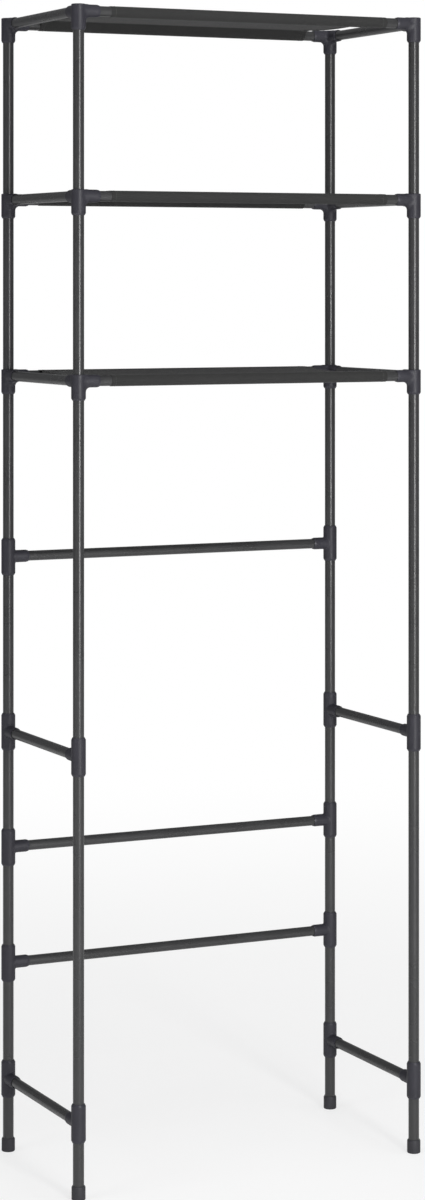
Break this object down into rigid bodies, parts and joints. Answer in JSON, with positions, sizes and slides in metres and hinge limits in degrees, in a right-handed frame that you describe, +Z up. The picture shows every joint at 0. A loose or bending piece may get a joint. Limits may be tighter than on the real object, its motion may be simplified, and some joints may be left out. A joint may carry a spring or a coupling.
{
  "type": "over the toilet storage rack",
  "caption": "Freestanding tube-frame storage rack that straddles a toilet, with stretched cloth shelves above it, rear and side cross bars, moulded corner and tee connectors and push-on feet.",
  "frame": {"origin": "on the floor, under the middle of the rack's footprint", "axes": "+Z up, +X towards the rack's right as seen from its front, -Y towards its front, where the toilet's bowl comes out"},
  "size_m": [0.566, 0.291, 1.7],
  "materials": {
    "tube": "charcoal powder coat, semi-gloss",
    "connector": "dark blue-black moulded plastic, satin",
    "foot": "dark moulded plastic, satin",
    "shelf_fabric": "dark grey cloth, matt, hemmed and sewn"
  },
  "bodies": {
    "root": {"front_left_foot": "foot", "front_right_foot": "foot", "rear_right_foot": "foot", "rear_left_foot": "foot", "front_left_lower_post_tube": "tube", "front_left_upper_post_tube": "tube", "front_right_lower_post_tube": "tube", "front_right_upper_post_tube": "tube", "rear_right_lower_post_tube": "tube", "rear_right_upper_post_tube": "tube", "rear_left_lower_post_tube": "tube", "rear_left_upper_post_tube": "tube", "top_shelf_front_left_corner": "connector", "top_shelf_front_right_corner": "connector", "top_shelf_rear_right_corner": "connector", "top_shelf_rear_left_corner": "connector", "top_shelf_front_tube": "tube", "top_shelf_rear_tube": "tube", "top_shelf_left_tube": "tube", "top_shelf_right_tube": "tube", "top_shelf_cloth": "shelf_fabric", "middle_shelf_front_left_corner": "connector", "middle_shelf_front_right_corner": "connector", "middle_shelf_rear_right_corner": "connector", "middle_shelf_rear_left_corner": "connector", "middle_shelf_front_tube": "tube", "middle_shelf_rear_tube": "tube", "middle_shelf_left_tube": "tube", "middle_shelf_right_tube": "tube", "middle_shelf_cloth": "shelf_fabric", "lower_shelf_front_left_corner": "connector", "lower_shelf_front_right_corner": "connector", "lower_shelf_rear_right_corner": "connector", "lower_shelf_rear_left_corner": "connector", "lower_shelf_front_tube": "tube", "lower_shelf_rear_tube": "tube", "lower_shelf_left_tube": "tube", "lower_shelf_right_tube": "tube", "lower_shelf_cloth": "shelf_fabric", "rear_upper_bar": "tube", "rear_upper_bar_left_tee": "connector", "rear_upper_bar_right_tee": "connector", "rear_middle_bar": "tube", "rear_middle_bar_left_tee": "connector", "rear_middle_bar_right_tee": "connector", "rear_lower_bar": "tube", "rear_lower_bar_left_tee": "connector", "rear_lower_bar_right_tee": "connector", "left_upper_side_bar": "tube", "left_upper_side_bar_front_tee": "connector", "left_upper_side_bar_rear_tee": "connector", "left_lower_side_bar": "tube", "left_lower_side_bar_front_tee": "connector", "left_lower_side_bar_rear_tee": "connector", "right_upper_side_bar": "tube", "right_upper_side_bar_front_tee": "connector", "right_upper_side_bar_rear_tee": "connector", "right_lower_side_bar": "tube", "right_lower_side_bar_front_tee": "connector", "right_lower_side_bar_rear_tee": "connector"}
  },
  "joints": []
}
